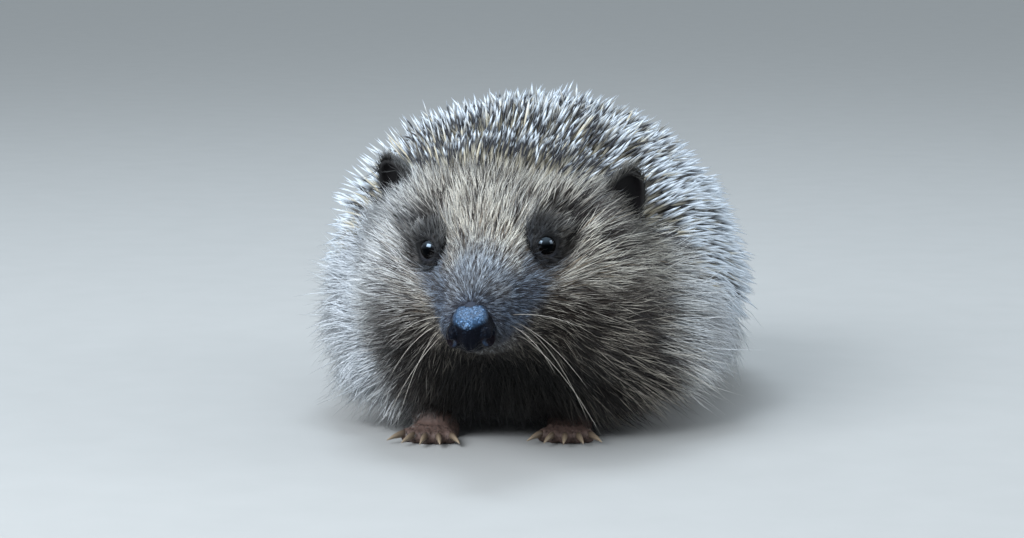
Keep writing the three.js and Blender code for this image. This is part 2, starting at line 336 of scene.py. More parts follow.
def slope(field, p, step=0.05):
    """The field's value and its gradient."""
    value = field(p)
    steps = np.eye(3) * step
    return value, np.stack([(field(p + s) - value) / step for s in steps], -1)


def surface_of(field, axes, settle=3):
    """Corners and four-sided faces of the surface where the field is zero."""
    v = sampled(field, axes)
    inside = v < 0
    cells = [slice(None, -1), slice(1, None)]
    corners = [(i, j, k) for i in (0, 1) for j in (0, 1) for k in (0, 1)]
    count = sum(inside[cells[i], cells[j], cells[k]].astype(np.int8) for i, j, k in corners)
    at = np.argwhere((count > 0) & (count < 8))
    number = np.full(count.shape, -1, np.int32)
    number[tuple(at.T)] = np.arange(len(at))
    total, crossings = np.zeros((len(at), 3)), np.zeros(len(at))
    for a in corners:
        for axis in range(3):
            if a[axis]:
                continue
            b = tuple(c + (n == axis) for n, c in enumerate(a))
            ia, ib = (at + a).T, (at + b).T
            va, vb = v[tuple(ia)], v[tuple(ib)]
            cut = (va < 0) != (vb < 0)
            t = np.where(cut, va / np.where(cut, va - vb, 1), 0)
            pa = np.stack([axes[n][ia[n]] for n in range(3)], -1)
            pb = np.stack([axes[n][ib[n]] for n in range(3)], -1)
            total += np.where(cut[:, None], pa + t[:, None] * (pb - pa), 0)
            crossings += cut
    points = total / crossings[:, None]
    quads = []
    for axis in range(3):
        u, w = (axis + 1) % 3, (axis + 2) % 3
        first, second = [slice(None)] * 3, [slice(None)] * 3
        first[axis], second[axis] = slice(None, -1), slice(1, None)
        change = inside[tuple(first)] != inside[tuple(second)]
        edge = np.argwhere(change)
        edge = edge[(edge[:, u] > 0) & (edge[:, w] > 0)]
        edge = edge[(edge[:, u] < count.shape[u]) & (edge[:, w] < count.shape[w])]
        ring = []
        for du, dw in ((-1, -1), (0, -1), (0, 0), (-1, 0)):
            cell = edge.copy()
            cell[:, u] += du
            cell[:, w] += dw
            ring.append(number[tuple(cell.T)])
        ring = np.stack(ring, -1)
        back = ~inside[tuple(edge.T)]
        ring[back] = ring[back][:, ::-1]
        quads.append(ring)
    for _ in range(settle):
        value, way = slope(field, points)
        pull = value / np.maximum((way**2).sum(1), 0.25)
        points -= np.clip(pull, -0.3, 0.3)[:, None] * way
    return points, np.concatenate(quads)


def linked(name, data):
    """An object of the scene, made from a mesh, a lamp or a camera."""
    thing = bpy.data.objects.new(name, data)
    bpy.context.scene.collection.objects.link(thing)
    return thing


def set_corners(mesh, points):
    """Give an empty mesh its corners, from millimetres about the animal's middle."""
    mesh.vertices.add(len(points))
    mesh.vertices.foreach_set("co", ((points + PLACE) * MM).astype(np.float32).ravel())


def mesh_of(name, points, quads, tris=np.zeros((0, 3), np.int32)):
    """A smooth mesh object from arrays of corners and faces."""
    mesh = bpy.data.meshes.new(name)
    set_corners(mesh, points)
    mesh.loops.add(tris.size + quads.size)
    corners = np.concatenate([tris.ravel(), quads.ravel()])
    mesh.loops.foreach_set("vertex_index", corners.astype(np.int32))
    starts = [np.arange(len(tris)) * 3, tris.size + np.arange(len(quads)) * 4]
    mesh.polygons.add(len(tris) + len(quads))
    mesh.polygons.foreach_set("loop_start", np.concatenate(starts).astype(np.int32))
    mesh.update(calc_edges=True)
    mesh.shade_smooth()
    return linked(name, mesh)


def keep_number(mesh, name, values):
    mesh.attributes.new(name, "FLOAT", "POINT").data.foreach_set("value", values.astype(np.float32))


def keep_vector(mesh, name, values):
    found = mesh.attributes.new(name, "FLOAT_VECTOR", "POINT")
    found.data.foreach_set("vector", values.astype(np.float32).ravel())


def keep_tint(mesh, colours):
    rgba = np.concatenate([colours, np.ones((len(colours), 1))], 1)
    found = mesh.color_attributes.new("tint", "FLOAT_COLOR", "POINT")
    found.data.foreach_set("color", rgba.astype(np.float32).ravel())


# the CAD pieces say where the middle of the animal went
PLACE = np.array(sum(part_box("eye_left"), Vector())) / 2 / MM - on_head(EYE)


# ------------------------------------------------------------------ markings, with painted light and shade
def linear(*rgb):
    """A colour given as a screen shows it, 0 to 255, in linear light."""
    c = np.array(rgb, float) / 255
    return np.where(c <= 0.04045, c / 12.92, ((c + 0.055) / 1.055) ** 2.4)


CREAM = linear(242, 237, 224)
BUFF = linear(172, 150, 120)
GREY = linear(184, 184, 181)
UNDER = linear(50, 42, 38)
CHARCOAL = linear(47, 57, 78)
FLECK = linear(150, 177, 208)
BROWN = linear(60, 44, 35)
FROST = linear(236, 241, 246)
SILVER = linear(196, 201, 206)
HORN_CREAM = linear(204, 195, 172)
HORN_DARK = linear(22, 22, 30)
HORN_TIP = linear(217, 226, 235)
# inside an ear: dark skin, made near black as painted shade in the cup
EAR_SKIN_AND_SHADE = linear(20, 17, 19)
LID_SKIN = linear(9, 9, 12)
LOWER_LID_SKIN = linear(24, 25, 34)
FOOT_SKIN = linear(92, 74, 67)
WHISKER_ROOT = linear(110, 102, 92)
WHISKER_TIP = linear(198, 191, 180)

MASK_MIDDLE = (13.5, -62.5, 49.5)  # the dark patch round the left eye
SNOUT_BAND = ((12, -63, 47), (6.5, -86, 35), 0, 0)  # from the eye down to the nose
BROW_STREAK = ((15, -61, 53), (23.5, -49, 57), 0, 0)  # from the eye up towards the ear
# painted shade on the fur in front of and below each ear
EAR_SHADE_MIDDLE = EAR + [-2.5, -6.5, -6.5]  # the shaded fur in front of and below the ear


def waves(p, length, seed):
    """Smooth noise from -1 to 1 with bumps about `length` across."""
    few = np.random.default_rng(seed)
    total = 0
    for _ in range(5):
        way = unit(few.normal(size=3)) * few.uniform(0.7, 1.4) * 2 * math.pi / length
        total = total + np.sin(p @ way + few.uniform(0, 6.28))
    return total / 5 * 1.6


def blend(a, b, share):
    """Each colour of a, moved towards b by its own share."""
    return a + (b - a) * np.reshape(share, (-1, 1))


def within(q, x=None, y=None, z=None):
    """How surely a place is in a zone, 0 to 1. Each pair is the zone's soft edge, outer end first."""
    found = 1
    for column, edge in zip(q.T, (x, y, z)):
        if edge:
            found = found * ramp(column, *edge)
    return found


def mask_of(p):
    """How dark the face is: round the eyes, along the snout and in a streak up from each eye."""
    h = to_head(p)
    m = mirrored(h)
    wobble = waves(p, 9, 3) * 1.2
    away = m - MASK_MIDDLE
    away[:, 0] *= 1 + 0.9 * ramp(away[:, 0], 0, 3)
    eye = np.linalg.norm(away * [1, 1, 1.05], axis=1)
    above = (0.25 - 0.17 * within(p, x=(-4, 4))) * within(m, z=(50, 54))
    mask = ramp(eye * (1 + above) + wobble, 8.6, 3.8)
    mask = np.maximum(mask, ramp(taper(m, *SNOUT_BAND) + wobble, 7.2, 2.2) * 0.92)
    mask = np.maximum(mask, ramp(h[:, 1] + wobble, -83, -90) * 0.6)
    mask = np.maximum(mask, ramp(taper(m, *BROW_STREAK) + wobble, 5.5, 1.5) * 0.55)
    return mask * (1 - 0.42 * within(p, x=(2, -6)) * within(m, z=(49, 54)))


def chin_of(p):
    """How brown the fur is: below the snout, on the throat, the chest, the belly and the legs. The brown is
    partly the coat's own and partly painted shade under the head and body.
    """
    h = to_head(p)
    level = h[:, 2] + 0.06 * h[:, 1] - 8 * within(h, y=(-62, -82)) - waves(p, 14, 5) * 1.5
    level = level - 5.5 * within(p, x=(8, 16))
    outward = np.abs(p[:, 0] - 6) * (1 + 0.14 * (p[:, 0] < 6))
    throat = ramp(level, 37, 25) * ramp(outward + 0.45 * (p[:, 1] + 50), 38, 25)
    return np.maximum(throat, within(p, z=(15, 5)) * (1 - 0.5 * within(mirrored(p), x=(22, 34))))


def pale_coat_and_light_of(p):
    """How white the coat is: the flanks from the shoulders back, the right one further forward. The white is
    partly the coat's own colour and partly painted light.
    """
    inner = np.where(p[:, 0] > 0, 21, 2)
    outward = np.abs(p[:, 0]) + 0.45 * (p[:, 1].clip(-60, -12) + 30) + waves(p, 12, 9) * 1.5
    outward = outward - 9 * within(p, y=(5, 45))
    return ramp(outward, inner, inner + 20) * ramp(np.abs(ear_field(to_head(p))), 1, 4)


def tip_tint(p, h, tone, pale_coat_and_light, low):
    """The colour of each hair's tip, and how pale the hair is."""
    patch = waves(p, 16, 8) * 0.2
    left_cheek = within(p, x=(6, 16)) * within(h, y=(-70, -60), z=(58, 48))
    shade = (0.5 + (tone + patch * 0.6 - 0.5) * (1 + 0.7 * left_cheek)).clip(0, 1)
    # painted light: on the right side, which the light comes from, the tips are whiter and cooler
    painted_light_right = within(-p, x=(8, 22))
    snout = within(mirrored(h), x=(10, 4), y=(-68, -80)) * 0.5
    warm = ramp((tone * 7.3) % 1 + patch, 0.2, 0.9) * (1 - 0.45 * within(h, z=(48, 58)))
    middle = blend(GREY, BUFF, warm * (1 - snout) * (1 - 0.7 * painted_light_right))
    middle = blend(blend(middle, FLECK, snout), SILVER, pale_coat_and_light * 0.85)
    light = blend(CREAM, FROST, np.maximum(pale_coat_and_light, painted_light_right * 0.8))
    light = blend(light, FLECK * 1.2, snout)
    cheek = ramp(np.abs(p[:, 0] + 6), 14, 24) * within(h, y=(-68, -58), z=(30, 40))
    # the cheeks are paler, and the right one more so as painted light
    pale = ramp(shade + 0.22 * pale_coat_and_light + (0.12 + 0.16 * (p[:, 0] < 0)) * cheek, 0.5, 0.8)
    tip = blend(middle, light, pale) * (1 - 0.35 * low * (shade < 0.85))[:, None]
    tip = tip * (1 - [[0, 0.05, 0.1]] * low[:, None])
    dark = UNDER * 1.5 + SILVER * 0.45 * pale_coat_and_light[:, None]
    return np.where((shade < 0.28 + 0.27 * low)[:, None], dark, tip), pale


def fur_tint(p, tone, along):
    """The colour of the hair, or of the skin, at each point. `tone` is the hair's own, 0 to 1."""
    h = to_head(p)
    m = mirrored(h)
    pale_coat_and_light = pale_coat_and_light_of(p)
    low = within(h, y=(-20, -45), z=(42, 28)) * (1 - pale_coat_and_light)
    tip, pale = tip_tint(p, h, tone, pale_coat_and_light, low)
    rise = ramp(along * (1 + 0.7 * within(h, y=(-56, -68))) + 0.3 * pale_coat_and_light, 0.22, 0.86)
    # darker towards the root: partly the underfur's own colour, partly painted shade deep in the coat
    root = UNDER * (0.6 - 0.25 * low)[:, None] + (SILVER - UNDER) * pale_coat_and_light[:, None] * 0.6
    colour = blend(root, tip, rise)

    # painted shade under the chin and low on the head: it darkens the brown fur there, nearly to black under
    # the chin
    chin_shade = ramp(np.abs(p[:, 0] - 2), 26, 10) * within(h, z=(32, 22))
    streak = ramp(tone, 0.7, 0.86) * (1 - chin_shade)
    depth = (1 - 0.96 * chin_shade) * (1 - 0.42 * within(h, z=(39, 31)))
    brown = blend(0, BROWN, (0.2 + 0.8 * rise * (0.3 + pale)) * depth)
    colour = blend(colour, brown, chin_of(p) * (0.97 - 0.6 * streak))

    left_brow = within(p, x=(2, 8)) * within(h, y=(-72, -64))
    charcoal = blend(CHARCOAL, BROWN * 0.8, 0.6 * left_brow)
    charcoal = blend(0, charcoal, 0.25 + 0.8 * rise * (0.4 + pale))
    fleck = ramp(tone, 0.55, 0.78) * rise * within(h, y=(-58, -70), z=(32, 37))
    charcoal = blend(charcoal, FLECK, fleck * 0.62)
    colour = blend(colour, charcoal, mask_of(p) * (1 - 0.5 * rise * within(h, y=(-64, -57))) * 0.88)

    flap = ramp(np.abs(ear_field(h)), 1.6, 0.7)
    # painted shade in front of and below each ear
    ear_shade = ramp(away_from(m, EAR_SHADE_MIDDLE, [1, 0.8, 0.8]), 9.5, 3)
    colour = colour * (1 - 0.76 * flap - 0.68 * ear_shade * (1 - flap))[:, None]
    # darker fur round each eye, and painted shade under the nose
    socket = ramp(away_from(m, EYE), 6.0, 4.1) * 1.14
    under_nose_shade = ramp(away_from(h, NOSE), 9.5, 6.0) * ramp(h[:, 2], NOSE[2] + 1, NOSE[2] - 3)
    return colour * (1 - 0.7 * np.maximum(socket, under_nose_shade))[:, None]


def skin_tint(p):
    """The colour of the skin: the coat's markings, and bare ears, eyelids, nose pad and feet. Inside each
    ear the dark skin is darkened further with painted shade.
    """
    z = zones(p)
    bare = fur_tint(p, np.full(len(p), 0.5), np.full(len(p), 0.3)) * 0.8
    bare = np.where(z["in_ear"][:, None], EAR_SKIN_AND_SHADE, bare)
    lid = ramp(z["eye"], 6.0, 4.2)
    bare = blend(bare, LID_SKIN, lid)
    bare = blend(bare, LOWER_LID_SKIN, ramp(eye_place(z["m"])[:, 2], -1.0, -2.6) * lid)
    bare = blend(bare, CHARCOAL * 0.5, ramp(z["nose"], 10.5, 7.5))
    return blend(bare, FOOT_SKIN, within(p, z=(9, 4)))


# ------------------------------------------------------------------ materials
def add_node(tree, kind, inputs=(), **settings):
    """A node of a tree. Each of its inputs is a value, or the socket of a node made before it."""
    node = tree.nodes.new(kind)
    for name, value in settings.items():
        setattr(node, name, value)
    for name, value in dict(inputs).items():
        if isinstance(value, bpy.types.NodeSocket):
            tree.links.new(value, node.inputs[name])
        else:
            node.inputs[name].default_value = value
    return node


def shader(name, roughness, specular=0.5):
    material = bpy.data.materials.new(name)
    material.use_nodes = True
    tree = material.node_tree
    bsdf = tree.nodes["Principled BSDF"]
    bsdf.inputs["Roughness"].default_value = roughness
    bsdf.inputs["Specular IOR Level"].default_value = specular
    return material, tree, bsdf


def kept_number(tree, name):
    """A number that the piece itself holds at every corner."""
    return add_node(tree, "ShaderNodeAttribute", attribute_name=name).outputs["Fac"]


def speckle(tree, scale, detail=3.0, stretch=(1, 1, 1)):
    """Noise on the object's own coordinates."""
    place = add_node(tree, "ShaderNodeTexCoord")
    size = add_node(tree, "ShaderNodeMapping", {"Vector": place.outputs["Object"], "Scale": stretch})
    spots = {"Vector": size.outputs["Vector"], "Scale": scale, "Detail": detail}
    return add_node(tree, "ShaderNodeTexNoise", spots).outputs["Fac"]


def bumped(tree, bsdf, height, distance):
    bump = add_node(tree, "ShaderNodeBump", {"Strength": 1.0, "Distance": distance, "Height": height})
    tree.links.new(bump.outputs["Normal"], bsdf.inputs["Normal"])


def varied(tree, noise, low, high):
    """The noise spread from low to high."""
    reach = {"Value": noise, "From Min": 0.3, "From Max": 0.7, "To Min": low, "To Max": high}
    return add_node(tree, "ShaderNodeMapRange", reach).outputs["Result"]


def graded_colour(tree, share, first, second, stops=(0, 1)):
    """From the first colour to the second as the share goes from one stop to the other."""
    node = add_node(tree, "ShaderNodeValToRGB", {"Fac": share})
    for element, colour, stop in zip(node.color_ramp.elements, (first, second), stops):
        element.color = (*colour, 1)
        element.position = stop
    return node.outputs["Color"]


def mixed_colour(tree, share, under, colour):
    """The colour laid over the one under it."""
    layers = {"Factor": share, "A": under, "B": (*colour, 1)}
    return add_node(tree, "ShaderNodeMix", layers, data_type="RGBA").outputs["Result"]


def wetter(tree, bsdf, gloss, coat):
    """Gloss and a clear coat that grow from the first value to the second where the piece is wet."""
    for socket, (dull, bright) in (("Specular IOR Level", gloss), ("Coat Weight", coat)):
        reach = {"Value": kept_number(tree, "wet"), "To Min": dull, "To Max": bright}
        spread = add_node(tree, "ShaderNodeMapRange", reach)
        tree.links.new(spread.outputs["Result"], bsdf.inputs[socket])


def tinted(name, roughness, specular, mottle_scale, low, high):
    """A material whose colour is the piece's own tint, mottled by fine noise."""
    material, tree, bsdf = shader(name, roughness, specular)
    tint = add_node(tree, "ShaderNodeAttribute", attribute_name="tint")
    strength = varied(tree, speckle(tree, mottle_scale), low, high)
    inputs = {0: tint.outputs["Color"], "Scale": strength}
    mottle = add_node(tree, "ShaderNodeVectorMath", inputs, operation="SCALE")
    tree.links.new(mottle.outputs["Vector"], bsdf.inputs["Base Color"])
    return material, tree, bsdf


def hide_material():
    material, tree, bsdf = tinted("soft hide", 0.62, 0.35, 900, 0.8, 1.15)
    bumped(tree, bsdf, speckle(tree, 2600, 2), 0.00012)
    return material


def hair_material():
    material, _, bsdf = tinted("coarse hair", 0.52, 0.35, 1400, 0.9, 1.1)
    bsdf.inputs["Sheen Weight"].default_value = 0.05
    return material


def spine_material():
    return tinted("banded horn", 0.36, 0.45, 2200, 0.94, 1.06)[0]


def nose_material():
    material, tree, bsdf = shader("wet nose leather", 0.3, 0.3)
    bsdf.inputs["Specular Tint"].default_value = (0.32, 0.59, 1.0, 1)
    bsdf.inputs["Coat Roughness"].default_value = 0.12
    bsdf.inputs["IOR"].default_value = 1.6
    wetter(tree, bsdf, (0.04, 1.0), (0.02, 0.08))
    leather = graded_colour(tree, speckle(tree, 900), (0.002, 0.002, 0.003), (0.006, 0.006, 0.009))
    lined = mixed_colour(tree, kept_number(tree, "inside"), leather, (0.008, 0.005, 0.006))
    # painted reflection: the blue of the sky, speckled, is tinted into the colour of the wet top and the
    # nostril rims
    sky_reflection_speckle = varied(tree, speckle(tree, 1600, 2), 0.0, 1.0)
    sky_reflection_share = add_node(tree, "ShaderNodeMath", {0: kept_number(tree, "wet"), 1: sky_reflection_speckle}, operation="MULTIPLY")
    painted_sky_reflection = mixed_colour(tree, sky_reflection_share.outputs[0], lined, (0.02, 0.05, 0.105))
    tree.links.new(painted_sky_reflection, bsdf.inputs["Base Color"])
    place = add_node(tree, "ShaderNodeTexCoord")
    pebbles = add_node(tree, "ShaderNodeTexVoronoi", {"Vector": place.outputs["Object"], "Scale": 1900})
    bumped(tree, bsdf, pebbles.outputs["Distance"], 0.00016)
    return material


def eye_material():
    material, tree, bsdf = shader("wet black eye", 0.08, 0.1)
    bsdf.inputs["Specular Tint"].default_value = (0.55, 0.78, 1.0, 1)
    wetter(tree, bsdf, (0.03, 1.0), (0.0, 0.5))
    iris = graded_colour(tree, kept_number(tree, "iris"), (0.0003, 0.0003, 0.0004), (0.002, 0.0012, 0.001))
    tree.links.new(iris, bsdf.inputs["Base Color"])
    return material


def claw_material():
    material, tree, bsdf = shader("claw horn", 0.38)
    horn = graded_colour(tree, kept_number(tree, "along"), (0.075, 0.05, 0.036), (0.36, 0.28, 0.19))
    tree.links.new(horn, bsdf.inputs["Base Color"])
    bumped(tree, bsdf, speckle(tree, 1500, 2, (6, 1, 6)), 0.00006)
    return material


# ------------------------------------------------------------------ skin, nose, eyes and claws
FINE, COARSE, AT_FEET, NOSE_STEP = 0.62, 1.1, 0.8, 0.2  # spacings of the grids that fields are read on
SKIN_GRID = (
    ((-58, -36, COARSE), (-36, 36, FINE), (36, 58, COARSE)),
    ((-97, -34, FINE), (-34, 95, COARSE)),
    ((-1, 9, AT_FEET), (9, 28, COARSE), (28, 71, FINE), (71, 84, COARSE)),
)


def grid_lines(stretches):
    """Grid lines along one axis: stretches, each with its own spacing, laid end to end."""
    lines = [np.arange(start, end, step) for start, end, step in stretches]
    return np.concatenate(lines + [[stretches[-1][1]]])


def make_skin():
    points, quads = surface_of(skin_field, [grid_lines(stretches) for stretches in SKIN_GRID])
    skin = mesh_of("skin", points, quads)
    _, way = slope(skin_field, points)
    return skin, points, quads, unit(way)


def unwrap(piece):
    """An unwrap of the skin by its own shape."""
    bpy.context.view_layer.objects.active = piece
    piece.select_set(True)
    bpy.ops.object.mode_set(mode="EDIT")
    bpy.ops.mesh.select_all(action="SELECT")
    bpy.ops.uv.smart_project(angle_limit=math.radians(66), island_margin=0.002)
    bpy.ops.object.mode_set(mode="OBJECT")
    piece.select_set(False)
    layer = piece.data.uv_layers.active
    layer.name = "OFBake"
    found = np.empty(len(layer.uv) * 2, np.float32)
    layer.uv.foreach_get("vector", found)
    return found.reshape(-1, 4, 2)


def make_nose():
    reach = np.arange(-7.5, 7.51, NOSE_STEP)
    points, quads = surface_of(nose_field, [reach + middle for middle in on_head(NOSE)])
    nose = mesh_of("nose_leather", points, quads)
    m = mirrored(to_head(points) - NOSE)
    keep_number(nose.data, "inside", ramp(taper(m, *NOSTRIL_LINING), 1.5, 0.9))
    # the wet share sets the gloss, and also where the sky's reflection is painted into the colour
    wet_top = ramp(m @ unit(NOSE_TOP), 2.1, 3.2)
    wet_rim = ramp(away_from(m, NOSTRIL_RIM), 1.5, 0.6) * 0.8
    keep_number(nose.data, "wet", np.maximum(wet_top, wet_rim))
    return nose


def rings_of(across, along, up, around):
    """Corners in rings about the Y axis: for each ring its half width, its place and its half height."""
    turn = np.arange(around) * 2 * math.pi / around
    beside = np.outer(across, np.cos(turn))
    above = np.outer(up, np.sin(turn))
    return np.stack([beside, np.repeat(along[:, None], around, 1), above], -1).reshape(-1, 3)


def ring_faces(rings, around):
    """Faces of a stack of rings, followed by the two points that close it."""
    j = np.arange(around)
    k = (j + 1) % around
    row = np.arange(rings - 1)[:, None] * around
    quads = np.stack([row + j, row + k, row + k + around, row + j + around], -1).reshape(-1, 4)
    first, top = rings * around, (rings - 1) * around
    tris = np.concatenate([
        np.stack([np.full(around, first), k, j], -1),
        np.stack([top + j, top + k, np.full(around, first + 1)], -1),
    ])
    return quads, tris


def make_eye(name, side, rings=23, around=40):
    """An eyeball with a slightly raised cornea."""
    angle = np.linspace(0, math.pi, rings + 2)[1:-1]
    radius = EYE_RADIUS * (1 + CORNEA_RISE * ramp(angle, 0.95, 0.2))
    width = radius * np.sin(angle)
    ends = [[0, EYE_RADIUS * (1 + CORNEA_RISE), 0], [0, -EYE_RADIUS, 0]]
    local = np.concatenate([rings_of(width, radius * np.cos(angle), width, around), ends])
    quads, tris = ring_faces(rings, around)
    if side < 0:
        quads, tris = quads[:, ::-1], tris[:, ::-1]
    eye = mesh_of(f"eyeball_{name}", on_head((local @ EYE_FRAME + EYE) * [side, 1, 1]), quads, tris)
    depth, height = local[:, 1] / EYE_RADIUS, local[:, 2] / EYE_RADIUS
    keep_number(eye.data, "iris", ramp(depth, 0.98, 0.86) * ramp(depth, 0.3, 0.6))
    keep_number(eye.data, "wet", ramp(height, 0.0, 0.42))
    return eye


def copied_faces(faces, count, size):
    """The faces of many copies of a shape that has `size` corners, with the copies end to end."""
    return (faces + np.arange(count)[:, None, None] * size).reshape(-1, faces.shape[1])


def make_claws(rings=7, around=10):
    """All the claws: cones that curve down to their points."""
    t = np.linspace(0, 1, rings + 1)[:-1]
    width = CLAW_RADIUS * (1 - t) ** 0.75 * (1 + 0.15 * np.sin(t * math.pi))
    ring = rings_of(width * 0.82, -t * CLAW_LENGTH, width, around)
    ring[:, 2] += CLAW_LIFT - CLAW_DROOP * np.repeat(t, around) ** 2
    ends = [[0, 0.6, CLAW_LIFT], [0, -CLAW_LENGTH, CLAW_LIFT - CLAW_DROOP]]
    claw = np.concatenate([ring, ends])
    along = np.concatenate([np.repeat(t, around), [0, 1]])
    points, nodes = [], []
    for name, leg in LEGS.items():
        paw = leg["paw"]
        back = rotation("Z", leg["side"] * math.radians(paw["turn"]))
        for n, angle in enumerate(paw["toes"]):
            _, end, way = toe_line(paw, angle)
            turned = claw @ rotation("Z", math.radians(angle)).T + [end[0], end[1], 0]
            turned = turned + way * paw["toe"] * 0.55
            points.append(turned @ back.T + [leg["side"] * leg["x"], leg["y"], 0])
            nodes.append(f"claw_{name}_{n + 1}")
    quads, tris = (copied_faces(faces, len(points), len(claw)) for faces in ring_faces(rings, around))
    claws = mesh_of("claws", np.concatenate(points), quads, tris)
    keep_number(claws.data, "along", np.tile(along, len(points)))
    return claws, nodes


# ------------------------------------------------------------------ where the coat grows
def spiny(p):
    """How far a place lies above the line where the spines begin."""
    return p[:, 2] - np.interp(p[:, 1], SPINE_LINE_Y, SPINE_LINE_Z) + waves(p, 13, 21) * 1.4


def on_leg(p):
    """How surely a place is on a leg or a paw, 0 to 1."""
    return ramp(np.min([leg_field(p, leg) for leg in LEGS.values()], axis=0), 2.2, 0.4)


def zones(p):
    """What grows at each place: how far off the eye, nose and ear are, and how surely it is on a part."""
    h = to_head(p)
    m = mirrored(h)
    ear = ear_place(h)
    z = dict(h=h, m=m, height=p[:, 2], leg=on_leg(p), spiny=spiny(p))
    z["eye"] = away_from(eye_place(m), 0, [1, 0.6, 1])
    z["nose"] = away_from(h, NOSE)
    z["ear"] = np.abs(ear_field(h))
    z["in_ear"] = (ellipsoid(ear, (0, 0, 0), EAR_HALF) < 0) & (ear[:, 1] > -2.5)
    z["ear_flap"] = (z["ear"] < 0.8) & ~z["in_ear"]
    z["behind_ear"] = ramp(z["ear"], 8, 2) * (ear[:, 1] > 0)
    z["before_ear"] = ramp(z["ear"], 6, 1.5) * (ear[:, 1] <= 0)
    z["tail"] = taper(p, *TAIL) < 0.8
    z["below"] = ramp(p[:, 2] - 0.1 * p[:, 1], 24, 8)
    return z


def hair_length(z):
    length = np.interp(z["h"][:, 1], HAIR_Y, HAIR_LENGTH)
    length *= 1 - 0.7 * ramp(z["eye"], 5.6, 3.2)
    length *= 1 - 0.4 * z["below"]
    on_foot = np.interp(z["height"], LEG_HAIR_Z, LEG_HAIR_LENGTH)
    length += (np.minimum(length, on_foot) - length) * z["leg"]
    length *= 1 - 0.12 * z["behind_ear"]
    length *= 1 - 0.36 * z["before_ear"]
    length *= 1 - 0.42 * ramp(z["spiny"], -11, -1) * ramp(z["height"], 48, 60)
    length = np.where(z["ear_flap"], EAR_HAIR_LENGTH, length)
    return np.where(z["tail"], TAIL_HAIR_LENGTH, length)


def hair_density(p):
    """How many long and how many short hairs grow on each square millimetre."""
    z = zones(p)
    furry = np.maximum(ramp(z["spiny"], 3, -4), z["ear_flap"]) * ~z["in_ear"] * (z["height"] > 0.8)
    furry *= ramp(z["eye"], 2.6, 3.4) * ramp(z["nose"], 4.2, 5.0)
    length = hair_length(z)
    fine = ramp(length, 9, 5)
    long_ones = furry * (1 - fine) * np.interp(z["h"][:, 1], LONG_HAIRS_Y, LONG_HAIRS)
    long_ones *= 1 - 0.35 * z["below"]
    short_ones = furry * fine * np.interp(length, SHORT_HAIRS_LENGTH, SHORT_HAIRS)
    short_ones *= np.where(z["leg"] > 0.5, 0.55, 1) * (1 + 0.6 * ramp(z["nose"], 13, 8))
    return long_ones, short_ones


def hair_lift(z, length, depth):
    """The angle between a hair and the skin at its root, which brings its tip up to the outline."""
    lift = np.degrees(np.arcsin((1.22 * depth / length).clip(0.2, 0.62)))
    lift = lift * (1 - 0.2 * z["below"]) * (1 - 0.4 * z["leg"]) + 26 * z["behind_ear"]
    return np.radians(np.where(z["ear_flap"], 24, lift))


def flattened(way, normals):
    """Directions laid down on the skin."""
    return unit(way - (way * normals).sum(1, keepdims=True) * normals)


def swung(way, normals, angle):
    """Directions along the skin, turned about its normals."""
    return way * np.cos(angle)[:, None] + np.cross(normals, way) * np.sin(angle)[:, None]


def hair_way(p, normals, z):
    """The way the coat lies: back from the nose, then along the body and down its sides."""
    h = z["h"]
    ones = np.ones(len(p))
    outwards = np.stack([np.sign(h[:, 0]), ones, ones], -1)
    from_nose = unit(h - [0, -91, 41])
    way = blend(from_nose, unit(h - EYE * outwards), ramp(z["eye"], 12, 4) * 0.3)
    aside = (p[:, 0] / 22).clip(-1, 1) * 0.25
    fall = -0.1 - 0.5 * ramp(np.abs(p[:, 0]), 15, 45) - 0.7 * ramp(p[:, 1], 55, 80)
    way = blend(way, np.stack([aside, 0.9 * ones, fall], -1), ramp(h[:, 1], -42, 0))
    down_leg = np.stack([np.sign(p[:, 0]) * 0.1, 0.25 * ones, -ones], -1)
    way = blend(way, blend(down_leg, np.array([0, -1, -0.4]), ramp(p[:, 2], 7, 4)), z["leg"])
    way = np.where(z["ear_flap"][:, None], [0.3, 0.3, 1.0] * outwards, way)
    return flattened(np.where(z["tail"][:, None], [0, 1, -0.4], way), normals)


def scattered(skin, density):
    """Random roots on the skin, `density` to the square millimetre: places, normals and UVs."""
    points, quads, normals, uvs = skin
    corners = points[quads]
    area = np.linalg.norm(np.cross(corners[:, 2] - corners[:, 0], corners[:, 3] - corners[:, 1]), axis=1) / 2
    total = np.cumsum(area * density)
    pick = np.searchsorted(total, np.arange(rng.random(), total[-1], 1.0))
    a, b = rng.random((2, len(pick)))
    share = np.stack([(1 - a) * (1 - b), a * (1 - b), a * b, (1 - a) * b], -1)[..., None]
    place = (corners[pick] * share).sum(1)
    return place, unit((normals[quads[pick]] * share).sum(1)), (uvs[pick] * share).sum(1)


def uneven(count, spread, low, high):
    """A random factor about 1 for each of many things, kept between low and high."""
    return rng.normal(1, spread, count).clip(low, high)


# ------------------------------------------------------------------ fur and whiskers
LOWEST_HAIR = 0.45  # no hair reaches further down
WHISKERS = ((1, 5), (-1, 4))  # the side, and how many grow there


def share_along(rings):
    """How far along a three-sided hair each of its corners is."""
    return np.append(np.repeat(np.arange(rings), 3), rings) / rings


